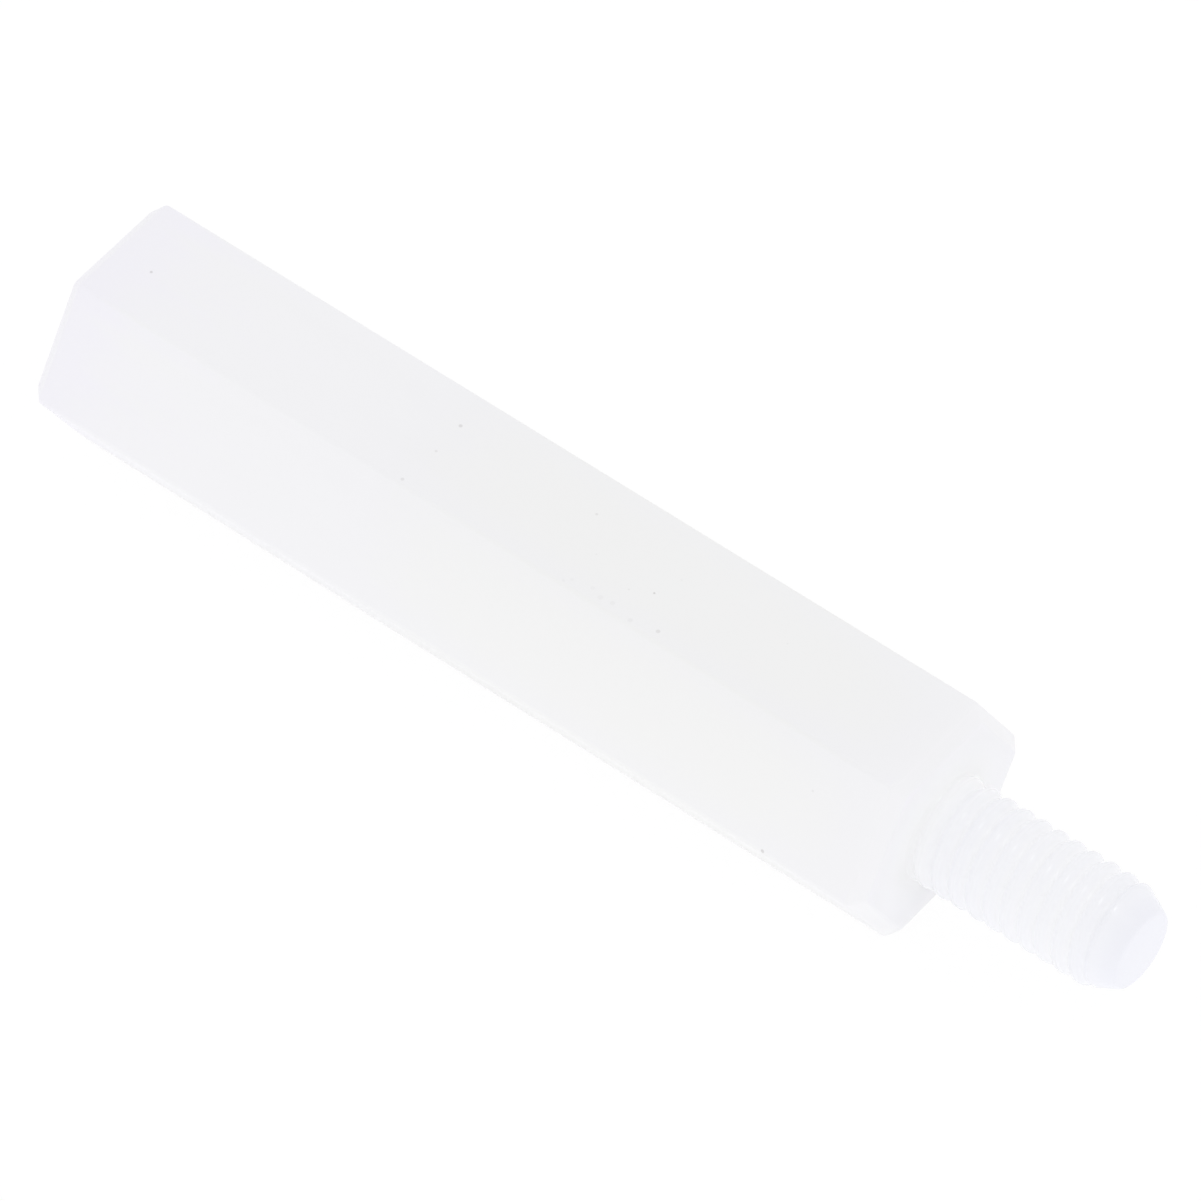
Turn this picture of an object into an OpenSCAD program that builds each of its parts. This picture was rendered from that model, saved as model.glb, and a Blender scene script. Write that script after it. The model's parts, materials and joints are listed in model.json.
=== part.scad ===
// Male-female hex standoff, moulded in one piece from natural nylon.
// A hexagonal body carries a threaded stud at one end and takes a screw in a
// blind threaded hole at the other. It lies on one of its flats, with the
// stud towards +X, the floor at Z = 0 and the origin under its middle.
// The threads are drawn plain: the stud at the crests of its thread, the hole
// at the crests of its own.

/* [Hex body] */
// Width of the body across its flats
across_flats = 7.9; // [7:0.1:12]
// Length of the body, from the hole's mouth to the shoulder under the stud
body_length = 35; // [16:0.5:60]
// Width of the 45 degree bevel round both ends of the body
end_bevel = 0.45; // [0.1:0.05:0.6]
// How much the mould takes off each of the six corners, towards the axis
corner_relief = 0.04; // [0.01:0.01:0.3]

/* [Thread] */
// Nominal diameter of the thread, on the stud and in the hole
thread_diameter = 4; // [2.5:0.5:5]
// Pitch of the thread
thread_pitch = 0.7; // [0.4:0.05:0.8]
// How far the stud's crests stay inside the nominal diameter, on the radius
crest_clearance = 0.025; // [0:0.005:0.1]

/* [Stud] */
// Length of the stud, from the shoulder to its tip
stud_length = 8.2; // [4:0.1:12]
// Length of the tapered lead at the stud's tip
lead_length = 1.1; // [0.3:0.05:2]
// How much the lead takes off the stud's radius
lead_depth = 0.55; // [0.1:0.05:0.8]

/* [Threaded hole] */
// Depth of the hole, from its mouth to the flat end that its core pin leaves
hole_depth = 14; // [5:0.5:15]
// How far the countersunk mouth opens past the nominal diameter, on the radius
mouth_relief = 0.1; // [0:0.05:0.3]

/* [Hidden] */

FLAT_PAIR_ANGLES = [0, 60, 120]; // one for each two opposite flats
EPS = 0.01;                      // how far a cutter stands proud of a face

total_length = body_length + stud_length;
mouth_x = -total_length / 2;
shoulder_x = mouth_x + body_length;
axis_z = across_flats / 2;

stud_radius = thread_diameter / 2 - crest_clearance;
hole_radius = (thread_diameter - thread_pitch) / 2;
mouth_radius = thread_diameter / 2 + mouth_relief;
mouth_depth = mouth_radius - hole_radius; // a 45 degree countersink
corner_radius = axis_z / cos(30) - corner_relief;

$fn = 96;

// Turns a shape drawn upwards from z = 0 to run along +X from x
module along_axis(x) {
    translate([x, 0, axis_z])
        rotate([0, 90, 0])
            children();
}

// A slab between two opposite flats, with its end edges bevelled
module bevelled_slab() {
    half = across_flats / 2;
    end_half = half - end_bevel;
    rotate([90, 0, 0])
        linear_extrude(height = 2 * across_flats, center = true)
            polygon([
                [-end_half, 0],
                [end_half, 0],
                [half, end_bevel],
                [half, body_length - end_bevel],
                [end_half, body_length],
                [-end_half, body_length],
                [-half, body_length - end_bevel],
                [-half, end_bevel],
            ]);
}

// Three such slabs share a hexagon, and a round bar takes its sharp corners off
module hex_body() {
    intersection() {
        translate([0, 0, -EPS])
            cylinder(r = corner_radius, h = body_length + 2 * EPS);
        intersection_for (angle = FLAT_PAIR_ANGLES)
            rotate(angle)
                bevelled_slab();
    }
}

// The stud, with the tapered lead that starts its thread
module stud() {
    rotate_extrude()
        polygon([
            [0, -EPS],
            [stud_radius, -EPS],
            [stud_radius, stud_length - lead_length],
            [stud_radius - lead_depth, stud_length],
            [0, stud_length],
        ]);
}

// The space that the threaded hole takes out of the body
module hole_space() {
    rotate_extrude()
        polygon([
            [0, -EPS],
            [mouth_radius + EPS, -EPS],
            [hole_radius, mouth_depth],
            [hole_radius, hole_depth],
            [0, hole_depth],
        ]);
}

module standoff() {
    color("whitesmoke")
        difference() {
            union() {
                along_axis(mouth_x) hex_body();
                along_axis(shoulder_x) stud();
            }
            along_axis(mouth_x) hole_space();
        }
}

standoff();
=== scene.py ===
"""A natural nylon hex standoff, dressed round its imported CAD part.

The CAD part gives every size and place. This script adds what the CAD leaves plain: the
moulded threads on the stud and in the hole, the soft edges, the milky nylon, and the studio.
Lengths are in millimetres up to the point where a mesh or an object is made, and angles are
in degrees.
"""

import json
import math

import bpy
from mathutils import Matrix, Vector
from mathutils.bvhtree import BVHTree


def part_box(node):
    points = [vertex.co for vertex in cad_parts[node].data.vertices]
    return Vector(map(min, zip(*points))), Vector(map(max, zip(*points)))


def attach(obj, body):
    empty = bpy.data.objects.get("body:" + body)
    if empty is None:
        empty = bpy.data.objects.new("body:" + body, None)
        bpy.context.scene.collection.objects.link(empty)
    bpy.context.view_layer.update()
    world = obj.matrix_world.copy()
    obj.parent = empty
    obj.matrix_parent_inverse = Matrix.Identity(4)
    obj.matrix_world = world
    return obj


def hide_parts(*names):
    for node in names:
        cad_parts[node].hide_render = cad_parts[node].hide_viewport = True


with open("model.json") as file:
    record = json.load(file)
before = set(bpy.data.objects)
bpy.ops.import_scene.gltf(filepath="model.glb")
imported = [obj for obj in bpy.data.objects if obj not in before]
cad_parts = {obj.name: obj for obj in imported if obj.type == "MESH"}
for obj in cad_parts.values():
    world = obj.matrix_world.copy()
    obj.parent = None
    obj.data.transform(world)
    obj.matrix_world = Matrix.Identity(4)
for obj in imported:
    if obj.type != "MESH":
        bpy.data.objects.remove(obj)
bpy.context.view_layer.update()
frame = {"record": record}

MM = 0.001  # metres in a millimetre
COS_30 = math.cos(math.radians(30))

# ---- Sizes from the CAD part ----

low, high = (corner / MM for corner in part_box("standoff"))
mounts = {mount["name"]: mount for mount in frame["record"]["mounts"]}


def face_x(mount):
    """Where a flat face lies along the axis."""
    return mounts[mount]["pos_m"][0] / MM


MOUTH_X = face_x("hole_end")
SHOULDER_X = face_x("shoulder")
TIP_X = high.x
HALF_FLATS = (high.z - low.z) / 2
AXIS_Z = (high.z + low.z) / 2
STUD_RADIUS = mounts["stud"]["dims"]["r_mm"]
LEAD_X = SHOULDER_X + mounts["stud"]["dims"]["length_mm"]
HOLE_RADIUS = mounts["threaded_hole"]["dims"]["r_mm"]
HOLE_LENGTH = mounts["threaded_hole"]["dims"]["length_mm"]

# ---- The body ----

END_BEVEL = 0.45
CORNER_RELIEF = HALF_FLATS / COS_30 - high.y
CORNER_ROUNDING = CORNER_RELIEF / (1 / COS_30 - 1)  # along the six long edges
EDGE_SOFTENING = 0.07  # on the edges of the bevels and of the hole's mouth
SINK = 0.02  # how far the cooling plastic drew the middle of each flat in
SINK_REACH = 3.6  # how far from an end the flats have sunk fully
BODY_STEP = 0.6  # the longest step between the rings of the body

# ---- The threads ----

PITCH = 0.7
THREAD_HEIGHT = PITCH * COS_30  # of its sharp 60 degree triangle
CREST_CUT = 0.45  # shares of the triangle that the moulded thread lacks
ROOT_CUT = 0.2
CREST_SOFTENING = 0.2
ROOT_SOFTENING = 0.12

STUD_TURN = 0.24  # how far round the stud its thread starts, in turns
LEAD_DEPTH = 0.55  # what the lead takes off the stud's radius
ROOT_FILLET = 0.35  # where the stud leaves the shoulder
TIP_ROUNDING = 0.12
TIP_FLAT = 0.4  # radius of the innermost ring on the tip

MOUTH_RADIUS = 2.1
MOUTH_DEPTH = MOUTH_RADIUS - HOLE_RADIUS  # of its 45 degree countersink
MOUTH_LIP = 0.15  # the thread's skin starts that deep in the countersink
MOUTH_INNER = 0.1  # from the mouth's edge to the last ring inside it
MOUTH_OUTER = 0.15  # and to the first ring on the end face
HOLE_BOTTOM = MOUTH_DEPTH + HOLE_LENGTH
PLAIN_WALL = 0.5  # between the thread's skin and the hole's bottom
BOTTOM_ROUNDING = 0.15
HOLE_THREAD_END = HOLE_BOTTOM - 1.2
HOLE_THREAD_FADE = 0.8

# ---- The nylon ----

SOLID_COLOUR = (0.94, 0.94, 0.94, 1)
WALL_COLOUR = (0.935, 0.933, 0.953, 1)
EDGE_COLOUR = (0.924, 0.913, 0.967, 1)
STUD_COLOUR = (0.897, 0.902, 0.963, 1)
# painted light in the stud's grooves, which lifts their shade
GROOVE_PAINTED_LIGHT_COLOUR = (0.935, 0.94, 0.985, 1)
# painted light round the stud's root, which lifts the shade in the crease
ROOT_PAINTED_LIGHT_COLOUR = (0.966, 0.97, 1, 1)
PAINTED_FLOOR_LIGHT_COLOUR = (0.985, 0.98, 0.99, 1)  # painted light close to the floor, standing in for the floor's light coming through the plastic's skin
CLOUD_COLOUR = (0.93, 0.93, 0.94, 1)
SPECK_COLOUR = (0.25, 0.22, 0.2, 1)
BLACK = (0, 0, 0, 1)

# The plastic's average thickness behind the surface, from the solid body to the hole's edge
THICK = 7.3  # above that, the solid body's colour
WALL = 5.6  # from here
THIN_WALL = 4.8  # to here, the colour of the wall round the hole
EDGE = 3.4  # below that, the colour of the hole end's edge
THICKNESS_RAYS = 24
THICKNESS_LIMIT = 9.0
RAY_START = 0.03  # the rays start that far under the surface

PAINTED_UPPER_SHADE = 0.025  # painted shade: where the body is solid, the side away from the floor is darker by that
PAINTED_FLOOR_LIGHT_HEIGHT = 1.6  # where the painted floor light starts, as a height over the floor
STUD_BLEND = 0.1  # the body's colour turns into the stud's over that length
ROOT_LIGHT_AND_SCATTER_SPREAD = 1.6  # how far from the stud's root the painted light that lifts the crease's shade, and the extra scatter, reach
CLEAR_FADE = 1.0  # the stud turns less clear from that far before its lead
STUD_SCATTER = 3.0  # how far light wanders inside the stud
STUD_TRANSLUCENCY = 0.6
CLOUDINESS = 0.15
CLOUD_SIZE = 3.0
CLOUD_RANGE = (0.3, 0.7)  # of the noise

BODY_ROUGHNESS = (0.34, 0.5)  # least and most
STUD_ROUGHNESS = (0.2, 0.24)
FLANK_ROUGHNESS = 0.9  # on the thread's flanks that face the shoulder
FLANK_LEAN = (0.1, -0.3)  # the X of a surface's normal, from where it is one to where it is fully
SHEEN_SIZE = 1.5  # of the patches of even gloss
GRAIN_SIZE = 0.12
WAVE_SIZE = 2.5
WAVE_SHARE = 6.0  # how much higher the waves are than the grain
BUMP_HEIGHT = 0.004
BUMP_STRENGTH = 0.5
REFRACTION = 1.53
SPECULAR_LEVEL = 0.2

# Specks, as the photo shows them: from the hole end, across from the flat's middle, radius,
# strength
TOP_SPECKS = [
    (1.95, -0.35, 0.07, 0.28),
    (14.1, -2.1, 0.085, 0.15),
    (14.2, -0.45, 0.07, 0.14),
    (14.15, 0.9, 0.09, 0.23),
    (20.0, 0.75, 0.07, 0.14),
    (21.05, -0.6, 0.05, 0.07),
    (22.8, -1.1, 0.05, 0.1),
    (23.55, -0.7, 0.055, 0.32),
    (23.9, 0.3, 0.05, 0.06),
    (28.25, 0.35, 0.05, 0.065),
    # a smudged scratch along the edge
    (20.9, -2.15, 0.07, 0.05),
    (21.1, -1.95, 0.08, 0.05),
    (21.85, -1.8, 0.1, 0.04),
    (22.3, -1.95, 0.13, 0.05),
    (22.75, -1.9, 0.12, 0.06),
    (23.65, -2.1, 0.11, 0.07),
    (24.65, -1.9, 0.1, 0.17),
]
FRONT_SPECKS = [
    (31.1, -2.2, 0.09, 0.28),
    (32.0, 0.65, 0.06, 0.1),
]
TOP_FACING = 90  # angles of the two flats' normals about the axis, from +Y towards +Z
FRONT_FACING = 150

# ---- The light and the camera ----

CENTRE = Vector(((MOUTH_X + SHOULDER_X) / 2, 0, AXIS_Z))  # of the hexagonal body
FLOOR_REACH = 3.0  # in metres
FLOOR_COLOUR = (0.95, 0.95, 0.95, 1)
FLOOR_GLOW = 0.18  # the floor is faintly lit from below, as on a light table
SHADOW_SHARE = 0.08  # how much of the object's shadow shows on the bright floor
WHITE = (1, 1, 1, 1)
SKY_LEVEL = 0.926
LAMPS = [
    # name, azimuth and elevation, distance and size in metres, level, lights all
    ("key_box", 122, 71.6, 0.8, 0.5, 0.03, True),
    ("glint_lamp", 122, 71.6, 0.8, 0.14, 0.22, False),  # shows in the gloss only
]
CAMERA_AZIMUTH = 37.51
CAMERA_ELEVATION = 50.66
CAMERA_ROLL = 1.058
CAMERA_DISTANCE = 474
CAMERA_LENS = 429.03
AIM_RIGHT = 2.597  # where the camera aims, seen from it, from the middle of the body
AIM_UP = -1.105

# ---- The mesh ----

COLUMNS = 96  # round the axis, in six equal sectors
SECTOR = COLUMNS // 6
CORNER_STEPS = 4  # of a sector's columns, those that turn its rounded corner
ROWS_PER_PITCH = 16


def soft_min(a, b, width):
    """The lesser of a and b, blended over a width where they are close."""
    share = max(width - abs(a - b), 0) / width
    return min(a, b) - share * share * width / 4


def soft_max(a, b, width):
    return -soft_min(-a, -b, width)


def smooth_step(value, start, end):
    """0 up to start, 1 from end on, and a smooth rise between them."""
    t = min(max((value - start) / (end - start), 0), 1)
    return t * t * (3 - 2 * t)


class Skin:
    """A closed skin round the X axis, built ring by ring. Each ring has one point a column."""

    def __init__(self):
        self.points = []
        self.faces = []

    def point(self, x, y, z):
        self.points.append((x * MM, y * MM, (z + AXIS_Z) * MM))
        return len(self.points) - 1

    def circle(self, x, radius):
        """A ring whose radius is a number, or a function of the column."""
        ring = []
        for column in range(COLUMNS):
            angle = 2 * math.pi * column / COLUMNS
            r = radius(column) if callable(radius) else radius
            ring.append(self.point(x, r * math.cos(angle), r * math.sin(angle)))
        return ring

    def hexagon(self, x, half_flats, rounding, sink):
        """A ring in the shape of a hexagon with rounded corners and slightly hollow sides."""
        ring = []
        reach = (half_flats - rounding) / COS_30
        half_width = reach / 2
        flat_steps = SECTOR - CORNER_STEPS
        for column in range(COLUMNS):
            # a sector runs from the middle of one flat, over a corner, to the middle of the next
            sector, step = divmod(column + SECTOR // 2, SECTOR)
            turn = step - flat_steps / 2
            corner = math.radians(60 * sector)
            if 0 <= turn <= CORNER_STEPS:
                angle = corner + math.radians(60 * turn / CORNER_STEPS - 30)
                y = reach * math.cos(corner) + rounding * math.cos(angle)
                z = reach * math.sin(corner) + rounding * math.sin(angle)
            else:
                side = -1 if turn < 0 else 1
                normal = corner + side * math.radians(30)
                along = (step if turn < 0 else SECTOR - step) / (flat_steps / 2)
                depth = half_flats - sink * (1 - along * along) ** 2
                offset = -side * half_width * along
                y = depth * math.cos(normal) - offset * math.sin(normal)
                z = depth * math.sin(normal) + offset * math.cos(normal)
            ring.append(self.point(x, y, z))
        return ring

    def bridge(self, first, second):
        """Joins two rings. The skin is walked from the hole's bottom to the stud's tip."""
        for column in range(COLUMNS):
            after = (column + 1) % COLUMNS
            self.face(first[column], first[after], second[after], second[column])
        return second

    def walk(self, ring, make, path):
        """Goes on from a ring along a path of (x, value), with make(x, value) as each next ring."""
        for x, value in path:
            ring = self.bridge(ring, make(x, value))
        return ring

    def face(self, *corners):
        """Adds a face, leaving out corners that fall on each other."""
        kept = [c for i, c in enumerate(corners) if c != corners[i - 1]]
        if len(kept) > 2:
            self.faces.append(kept)

    def thread(self, first, last, start_x, end_x, radius, hollow=False):
        """Fills the skin between two rings with rows that climb along a right-hand helix.

        radius(phase, x) gives the thread's radius, where phase runs from 0 to 1 over a pitch.
        The skin of a hollow thread faces the axis.
        """
        made = {}
        margin = PITCH / ROWS_PER_PITCH / 5  # points that near to an end fall on its ring

        def vertex(row, column):
            if column == COLUMNS:
                row, column = row + ROWS_PER_PITCH, 0
            turns = row / ROWS_PER_PITCH + column / COLUMNS
            x = start_x + turns * PITCH
            if x <= start_x + margin:
                return first[column]
            if x >= end_x - margin:
                return last[column]
            if (row, column) not in made:
                angle = 2 * math.pi * column / COLUMNS
                r = radius(row / ROWS_PER_PITCH % 1, x)
                made[row, column] = self.point(x, r * math.cos(angle), r * math.sin(angle))
            return made[row, column]

        rows = math.ceil((end_x - start_x) / PITCH * ROWS_PER_PITCH)
        for row in range(-ROWS_PER_PITCH - 1, rows + 1):
            for column in range(COLUMNS):
                corners = [
                    vertex(row, column),
                    vertex(row, column + 1),
                    vertex(row + 1, column + 1),
                    vertex(row + 1, column),
                ]
                self.face(*(reversed(corners) if hollow else corners))

    def mesh(self, name):
        mesh = bpy.data.meshes.new(name)
        mesh.from_pydata(self.points, [], self.faces)
        mesh.update()
        return mesh


def softened(path, radius, steps=4):
    """A path of (x, value) points whose inner corners are turned into short curves."""
    out = [path[0]]
    for before, corner, after in zip(path, path[1:], path[2:]):
        corner = Vector(corner)
        start = corner + (Vector(before) - corner).normalized() * radius
        end = corner + (Vector(after) - corner).normalized() * radius
        for step in range(steps + 1):
            t = step / steps
            curve = start * (1 - t) ** 2 + corner * (2 * t * (1 - t)) + end * t**2
            out.append(tuple(curve))
    out.append(path[-1])
    return out


def subdivided(path, longest):
    """The same path with points added, so that no step is longer than that."""
    out = [path[0]]
    for before, after in zip(path, path[1:]):
        parts = max(1, math.ceil(math.dist(before, after) / longest))
        for part in range(1, parts + 1):
            out.append(tuple(Vector(before).lerp(Vector(after), part / parts)))
    return out


# ---- The threads' forms ----


def thread_height(phase):
    """Height of the thread over its root: full at phase 0, nothing at phase 0.5."""
    sharp = THREAD_HEIGHT * abs(2 * phase - 1)
    root = THREAD_HEIGHT * ROOT_CUT
    crest = THREAD_HEIGHT * (1 - CREST_CUT)
    return soft_min(soft_max(sharp, root, ROOT_SOFTENING), crest, CREST_SOFTENING) - root


STUD_ROOT = STUD_RADIUS - thread_height(0)


def lead_radius(x):
    return STUD_RADIUS - LEAD_DEPTH * (x - LEAD_X) / (TIP_X - LEAD_X)


def stud_thread(phase, x):
    """The stud's thread grows out of a small fillet and ends on the cone of the lead."""
    radius = STUD_ROOT + thread_height((phase - STUD_TURN) % 1)
    rise = ROOT_FILLET - (x - SHOULDER_X)
    if rise > 0:
        fillet = STUD_ROOT + ROOT_FILLET - math.sqrt(ROOT_FILLET**2 - rise**2)
        radius = soft_max(radius, fillet, ROOT_SOFTENING)
    return soft_min(radius, lead_radius(x), ROOT_SOFTENING) if x > LEAD_X else radius


def hole_thread(phase, x):
    """The hole's thread is cut into its wall, and fades out before the hole ends."""
    depth = x - MOUTH_X
    fade = 1 - smooth_step(depth, HOLE_THREAD_END - HOLE_THREAD_FADE, HOLE_THREAD_END)
    groove = HOLE_RADIUS + fade * thread_height(phase)
    return soft_max(groove, MOUTH_RADIUS - depth, ROOT_SOFTENING)


def thread_ring(skin, x, start_x, radius):
    """A flat ring across a thread that starts at start_x."""
    return skin.circle(x, lambda column: radius(((x - start_x) / PITCH - column / COLUMNS) % 1, x))


# ---- The standoff ----


def skin_hole(skin):
    """The threaded hole, from its bottom out to its mouth. Returns the last ring."""
    bottom_x = MOUTH_X + HOLE_BOTTOM
    thread_start = MOUTH_X + MOUTH_LIP
    thread_end = bottom_x - PLAIN_WALL
    bottom = [
        (bottom_x, HOLE_RADIUS / 2),
        (bottom_x, HOLE_RADIUS),
        (thread_end, HOLE_RADIUS),
    ]
    mouth = [
        (MOUTH_X + MOUTH_INNER, MOUTH_RADIUS - MOUTH_INNER),
        (MOUTH_X, MOUTH_RADIUS),
        (MOUTH_X, MOUTH_RADIUS + MOUTH_OUTER),
    ]
    centre = [skin.point(bottom_x, 0, 0)] * COLUMNS
    bottom_ring = skin.walk(centre, skin.circle, softened(bottom, BOTTOM_ROUNDING))
    mouth_ring = thread_ring(skin, thread_start, thread_start, hole_thread)
    skin.thread(mouth_ring, bottom_ring, thread_start, thread_end, hole_thread, hollow=True)
    return skin.walk(mouth_ring, skin.circle, softened(mouth, EDGE_SOFTENING))


def skin_body(skin, ring):
    """The hexagonal body, from the ring round the hole's mouth to the shoulder."""

    def hexagon(x, inset):
        from_end = min(x - MOUTH_X, SHOULDER_X - x)
        sink = SINK * smooth_step(from_end, END_BEVEL, SINK_REACH)
        return skin.hexagon(x, HALF_FLATS - inset, CORNER_ROUNDING, sink)

    end_inset = 3 * END_BEVEL  # of the ring on each end face, inside its bevel
    insets = [
        (MOUTH_X, end_inset),
        (MOUTH_X, END_BEVEL),
        (MOUTH_X + END_BEVEL, 0),
        (SHOULDER_X - END_BEVEL, 0),
        (SHOULDER_X, END_BEVEL),
        (SHOULDER_X, end_inset),
    ]
    return skin.walk(ring, hexagon, subdivided(softened(insets, EDGE_SOFTENING), BODY_STEP))


def skin_stud(skin, ring):
    """The threaded stud, from the ring on the shoulder to the middle of its tip."""
    lead_end = TIP_X - 2 * TIP_ROUNDING
    tip = [
        (lead_end, lead_radius(lead_end)),
        (TIP_X, lead_radius(TIP_X)),
        (TIP_X, TIP_FLAT),
    ]
    root_ring = skin.circle(SHOULDER_X, STUD_ROOT + ROOT_FILLET)
    skin.bridge(ring, root_ring)
    lead_ring = thread_ring(skin, lead_end, SHOULDER_X, stud_thread)
    skin.thread(root_ring, lead_ring, SHOULDER_X, lead_end, stud_thread)
    tip_ring = skin.walk(lead_ring, skin.circle, softened(tip, TIP_ROUNDING)[1:])
    skin.bridge(tip_ring, [skin.point(TIP_X, 0, 0)] * COLUMNS)


def standoff():
    """One closed skin, walked from the hole's bottom, out of its mouth, over the body to the tip."""
    skin = Skin()
    mouth = skin_hole(skin)
    shoulder = skin_body(skin, mouth)
    skin_stud(skin, shoulder)
    return skin.mesh("nylon_standoff")


def hemisphere(count):
    """Directions spread about +Z, more of them near it, as light leaves a matt surface."""
    golden_turn = math.pi * (1 + math.sqrt(5))
    directions = []
    for i in range(count):
        rim = math.sqrt((i + 0.5) / count)
        turn = golden_turn * i
        height = math.sqrt(1 - rim * rim)
        directions.append(Vector((rim * math.cos(turn), rim * math.sin(turn), height)))
    return directions


def measure_thickness(mesh):
    """Stores at each point how thick the part is behind it, on the average."""
    corners = [vertex.co / MM for vertex in mesh.vertices]
    tree = BVHTree.FromPolygons(corners, [tuple(face.vertices) for face in mesh.polygons])
    rays = hemisphere(THICKNESS_RAYS)
    values = []
    for corner, vertex in zip(corners, mesh.vertices):
        inward = -vertex.normal
        along = Vector((1, 0, 0)) if abs(inward.x) < 0.9 else Vector((0, 1, 0))
        side = inward.cross(along).normalized()
        axes = Matrix((side, inward.cross(side), inward)).transposed()
        start = corner + inward * RAY_START
        reach = 0
        for ray in rays:
            hit = tree.ray_cast(start, axes @ ray, THICKNESS_LIMIT)
            reach += hit[3] if hit[0] else THICKNESS_LIMIT
        values.append(reach / THICKNESS_RAYS)
    layer = mesh.attributes.new("thickness", "FLOAT", "POINT")
    layer.data.foreach_set("value", values)


# ---- The materials ----


class Nodes:
    """Adds nodes to a tree, with their inputs given as values or as other nodes' outputs."""

    def __init__(self, tree):
        self.tree = tree
        tree.nodes.clear()

    def add(self, kind, inputs=(), **settings):
        """Adds a node. Its inputs go by name or by number."""
        node = self.tree.nodes.new(kind)
        for name, value in settings.items():
            setattr(node, name, value)
        for name, value in dict(inputs).items():
            socket = node.inputs[name]
            if isinstance(value, bpy.types.NodeSocket):
                self.tree.links.new(value, socket)
            else:
                socket.default_value = value
        return node

    def math(self, operation, *values):
        return self.add("ShaderNodeMath", enumerate(values), operation=operation).outputs[0]

    def mix(self, share, a, b):
        """Mixes two numbers."""
        return self.add("ShaderNodeMix", {"Factor": share, "A": a, "B": b}).outputs[0]

    def blend(self, share, a, b):
        """Mixes two colours, which a Mix node takes at its inputs 6 and 7."""
        return self.add("ShaderNodeMix", {0: share, 6: a, 7: b}, data_type="RGBA").outputs[2]

    def rise(self, value, start, end, smooth=True):
        """0 where the value is at start, 1 where it is at end."""
        node = self.add(
            "ShaderNodeMapRange",
            {"Value": value, "From Min": start, "From Max": end},
            interpolation_type="SMOOTHSTEP" if smooth else "LINEAR",
        )
        return node.outputs["Result"]

    def apart(self, vector):
        """The X, Y and Z of a vector."""
        return self.add("ShaderNodeSeparateXYZ", {0: vector}).outputs

    def distance(self, a, b):
        node = self.add("ShaderNodeVectorMath", {0: a, 1: b}, operation="DISTANCE")
        return node.outputs["Value"]

    def noise(self, vector, size, detail=2.0, roughness=0.5):
        """Noise about 0.5, whose blobs are about that many millimetres across."""
        node = self.add(
            "ShaderNodeTexNoise",
            {"Vector": vector, "Scale": 1 / size, "Detail": detail, "Roughness": roughness},
        )
        return node.outputs["Fac"]


def on_flat(from_mouth, across, facing):
    """A place on a flat: how far it is from the hole end, and across from the flat's middle."""
    turn = Matrix.Rotation(math.radians(facing), 3, "X")
    return turn @ Vector((0, HALF_FLATS, -across)) + Vector((MOUTH_X + from_mouth, 0, AXIS_Z))


def with_specks(n, place, colour):
    """Tiny specks of darkened plastic over a colour."""
    for facing, specks in ((TOP_FACING, TOP_SPECKS), (FRONT_FACING, FRONT_SPECKS)):
        for from_mouth, across, radius, strength in specks:
            centre = on_flat(from_mouth, across, facing)
            share = n.rise(n.distance(place, centre), radius, radius / 2)
            colour = n.blend(n.math("MULTIPLY", share, strength), colour, SPECK_COLOUR)
    return colour


def stud_shares(n, x, y, z):
    """Where the stud is, where it is clear, where painted light lifts the shade in its grooves, and
    where painted light and extra scatter lift the crease round its root: 0 to 1.
    """
    past_shoulder = n.math("SUBTRACT", x, SHOULDER_X)
    stud = n.rise(past_shoulder, 0.0, STUD_BLEND)
    clear = n.math("MULTIPLY", stud, n.rise(x, TIP_X, LEAD_X - CLEAR_FADE))
    radius = n.distance(n.add("ShaderNodeCombineXYZ", {1: y, 2: z}).outputs[0], (0, 0, AXIS_Z))
    # where painted light lifts the shade in the stud's grooves
    groove = n.math("MULTIPLY", clear, n.rise(radius, STUD_RADIUS, STUD_ROOT))
    # painted light and extra scatter round the root, from the circle where the stud leaves the
    # shoulder
    outward = n.math("SUBTRACT", radius, STUD_RADIUS)
    off_circle = n.add("ShaderNodeCombineXYZ", {0: past_shoulder, 1: outward}).outputs[0]
    root = n.rise(n.distance(off_circle, (0, 0, 0)), ROOT_LIGHT_AND_SCATTER_SPREAD, 0.0)
    return stud, clear, groove, root


def body_colour(n, z):
    """Thin walls are bluer than the solid body. Painted shade darkens the side away from the floor
    where the body is solid, and painted light makes all of it paler close to the floor.
    """
    thickness = n.add("ShaderNodeAttribute", attribute_name="thickness").outputs["Fac"]
    colour = n.blend(n.rise(thickness, THICK, WALL), SOLID_COLOUR, WALL_COLOUR)
    colour = n.blend(n.rise(thickness, THIN_WALL, EDGE), colour, EDGE_COLOUR)
    # painted shade on the side away from the floor, with less of it where the plastic is thin
    painted_shade_share = n.rise(z, AXIS_Z, AXIS_Z + HALF_FLATS, smooth=False)
    painted_shade_share = n.math("MULTIPLY", painted_shade_share, n.rise(thickness, EDGE, THICK))
    colour = n.blend(n.math("MULTIPLY", painted_shade_share, PAINTED_UPPER_SHADE), colour, BLACK)
    # painted light close to the floor
    return n.blend(n.rise(z, PAINTED_FLOOR_LIGHT_HEIGHT, 0.0), colour, PAINTED_FLOOR_LIGHT_COLOUR)


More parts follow.
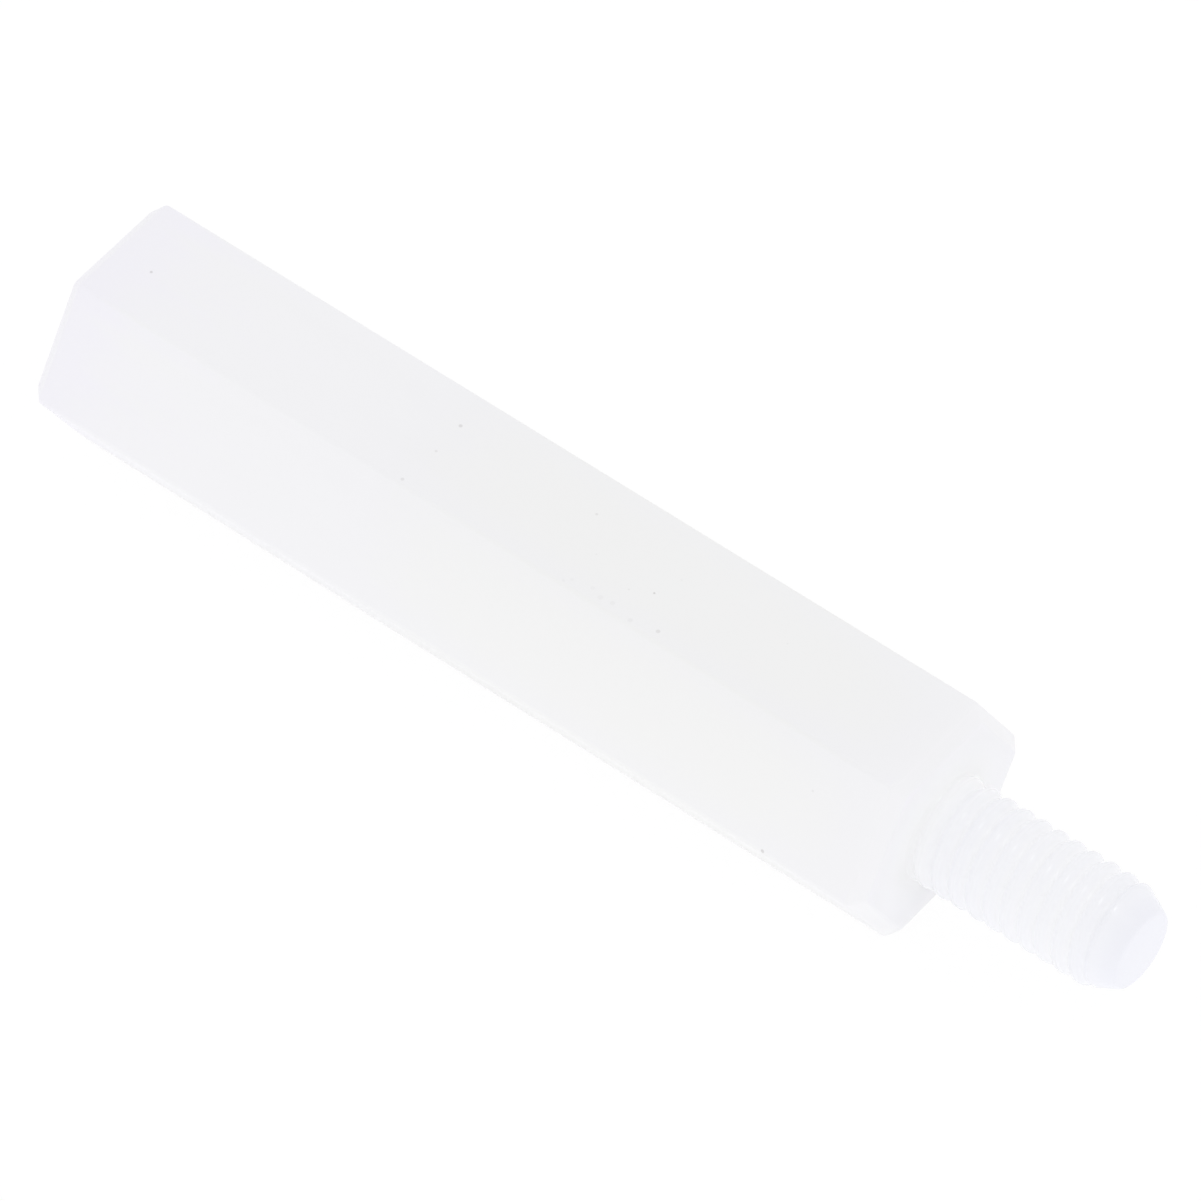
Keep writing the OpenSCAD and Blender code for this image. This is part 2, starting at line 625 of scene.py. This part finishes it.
def nylon_roughness(n, place, stud):
    """Patches of slightly different gloss, and dull flanks where the thread faces the shoulder."""
    least = n.mix(stud, BODY_ROUGHNESS[0], STUD_ROUGHNESS[0])
    most = n.mix(stud, BODY_ROUGHNESS[1], STUD_ROUGHNESS[1])
    roughness = n.mix(n.noise(place, SHEEN_SIZE), least, most)
    lean = n.apart(n.add("ShaderNodeTexCoord").outputs["Normal"])["X"]
    flank = n.math("MULTIPLY", stud, n.rise(lean, *FLANK_LEAN))
    return n.mix(flank, roughness, FLANK_ROUGHNESS)


def nylon_bump(n, place):
    """A fine grain on long low waves."""
    grain = n.noise(place, GRAIN_SIZE, detail=4.0, roughness=0.6)
    height = n.math("MULTIPLY_ADD", n.noise(place, WAVE_SIZE), WAVE_SHARE, grain)
    depth = {"Height": height, "Strength": BUMP_STRENGTH, "Distance": BUMP_HEIGHT * MM}
    return n.add("ShaderNodeBump", depth).outputs["Normal"]


def nylon_material():
    material = bpy.data.materials.new("natural_nylon")
    material.use_nodes = True
    n = Nodes(material.node_tree)
    metres = n.add("ShaderNodeTexCoord").outputs["Object"]
    scaled = n.add("ShaderNodeVectorMath", {0: metres, "Scale": 1 / MM}, operation="SCALE")
    place = scaled.outputs[0]
    x, y, z = n.apart(place)
    stud, clear, groove, root = stud_shares(n, x, y, z)

    colour = n.blend(stud, body_colour(n, z), STUD_COLOUR)
    # painted light that lifts the shade in the stud's grooves and in the crease round its root
    colour = n.blend(groove, colour, GROOVE_PAINTED_LIGHT_COLOUR)
    colour = n.blend(root, colour, ROOT_PAINTED_LIGHT_COLOUR)
    cloud = n.rise(n.noise(place, CLOUD_SIZE), *CLOUD_RANGE)
    colour = n.blend(n.math("MULTIPLY", cloud, CLOUDINESS), colour, CLOUD_COLOUR)
    scatter = n.math("MAXIMUM", n.math("MULTIPLY", clear, STUD_TRANSLUCENCY), root)

    shader = n.add(
        "ShaderNodeBsdfPrincipled",
        {
            "Base Color": with_specks(n, place, colour),
            "Roughness": nylon_roughness(n, place, stud),
            "IOR": REFRACTION,
            "Specular IOR Level": SPECULAR_LEVEL,
            "Subsurface Weight": scatter,
            "Subsurface Radius": (1.0, 1.0, 1.0),
            "Subsurface Scale": STUD_SCATTER * MM,
            "Normal": nylon_bump(n, place),
        },
        subsurface_method="RANDOM_WALK",
    )
    n.add("ShaderNodeOutputMaterial", {"Surface": shader.outputs[0]})
    return material


def seen(n):
    """1 for rays from the camera, and for those that metal or glass would pass on to it."""
    rays = n.add("ShaderNodeLightPath").outputs
    direct = n.math("MAXIMUM", rays["Is Camera Ray"], rays["Is Glossy Ray"])
    return n.math("MAXIMUM", direct, rays["Is Transmission Ray"])


def floor_material():
    """White as the camera sees it, apart from a share of the object's shadow."""
    material = bpy.data.materials.new("floor")
    material.use_nodes = True
    n = Nodes(material.node_tree)
    paint = n.add("ShaderNodeBsdfDiffuse", {"Color": FLOOR_COLOUR})
    glow = n.add("ShaderNodeEmission", {"Color": WHITE, "Strength": FLOOR_GLOW})
    lit = n.add("ShaderNodeAddShader", {0: paint.outputs[0], 1: glow.outputs[0]})
    white = n.add("ShaderNodeEmission", {"Color": WHITE, "Strength": 1.0})
    share = n.math("MULTIPLY", seen(n), 1 - SHADOW_SHARE)
    mix = n.add("ShaderNodeMixShader", {0: share, 1: lit.outputs[0], 2: white.outputs[0]})
    n.add("ShaderNodeOutputMaterial", {"Surface": mix.outputs[0]})
    return material


# ---- The studio ----


def make_world():
    """An even white tent round the part."""
    world = bpy.data.worlds.new("studio")
    bpy.context.scene.world = world
    world.use_nodes = True
    n = Nodes(world.node_tree)
    strength = n.mix(seen(n), SKY_LEVEL, 1.0)
    back = n.add("ShaderNodeBackground", {"Color": WHITE, "Strength": strength})
    n.add("ShaderNodeOutputWorld", {"Surface": back.outputs[0]})


def direction(azimuth, elevation):
    """A unit vector from the part towards a camera or a lamp. Azimuth 0 is from -Y."""
    a = math.radians(azimuth)
    e = math.radians(elevation)
    return Vector((math.sin(a) * math.cos(e), -math.cos(a) * math.cos(e), math.sin(e)))


def add_lamp(name, azimuth, elevation, distance, size, level, lights_all):
    """A square soft box. At level 1 it lights a surface that faces it as a white sky would."""
    lamp = bpy.data.lights.new(name, "AREA")
    lamp.shape = "SQUARE"
    lamp.size = size
    lamp.energy = level * math.pi**2 * distance**2
    box = bpy.data.objects.new(name, lamp)
    toward = direction(azimuth, elevation)
    box.location = CENTRE * MM + toward * distance
    box.rotation_euler = toward.to_track_quat("Z", "Y").to_euler()
    box.visible_camera = False
    box.visible_diffuse = lights_all
    bpy.context.collection.objects.link(box)


def add_floor():
    reach = FLOOR_REACH
    corners = [(-reach, -reach, 0), (reach, -reach, 0), (reach, reach, 0), (-reach, reach, 0)]
    mesh = bpy.data.meshes.new("floor")
    mesh.from_pydata(corners, [], [(0, 1, 2, 3)])
    mesh.materials.append(floor_material())
    floor = bpy.data.objects.new("floor", mesh)
    bpy.context.collection.objects.link(floor)


def add_camera():
    back = direction(CAMERA_AZIMUTH, CAMERA_ELEVATION)
    right = Vector((0, 0, 1)).cross(back).normalized()
    up = back.cross(right)
    roll = Matrix.Rotation(math.radians(CAMERA_ROLL), 3, back)
    right = roll @ right
    up = roll @ up
    aim = (CENTRE + right * AIM_RIGHT + up * AIM_UP) * MM
    camera = bpy.data.cameras.new("camera")
    camera.lens = CAMERA_LENS
    camera.clip_start = 0.01
    camera.clip_end = 100
    stand = bpy.data.objects.new("camera", camera)
    axes = Matrix((right, up, back)).transposed()
    stand.matrix_world = Matrix.Translation(aim + back * CAMERA_DISTANCE * MM) @ axes.to_4x4()
    bpy.context.collection.objects.link(stand)
    bpy.context.scene.camera = stand


# ---- Putting it together ----


def add_standoff():
    mesh = standoff()
    measure_thickness(mesh)
    mesh.shade_smooth()
    mesh.materials.append(nylon_material())
    body = bpy.data.objects.new("nylon_standoff", mesh)
    bpy.context.collection.objects.link(body)
    evened = body.modifiers.new("even_normals", "WEIGHTED_NORMAL")
    evened.keep_sharp = True
    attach(body, "root")
    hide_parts("standoff")


add_standoff()
add_floor()
for lamp in LAMPS:
    add_lamp(*lamp)
make_world()
add_camera()
bpy.context.scene.view_settings.view_transform = "Standard"
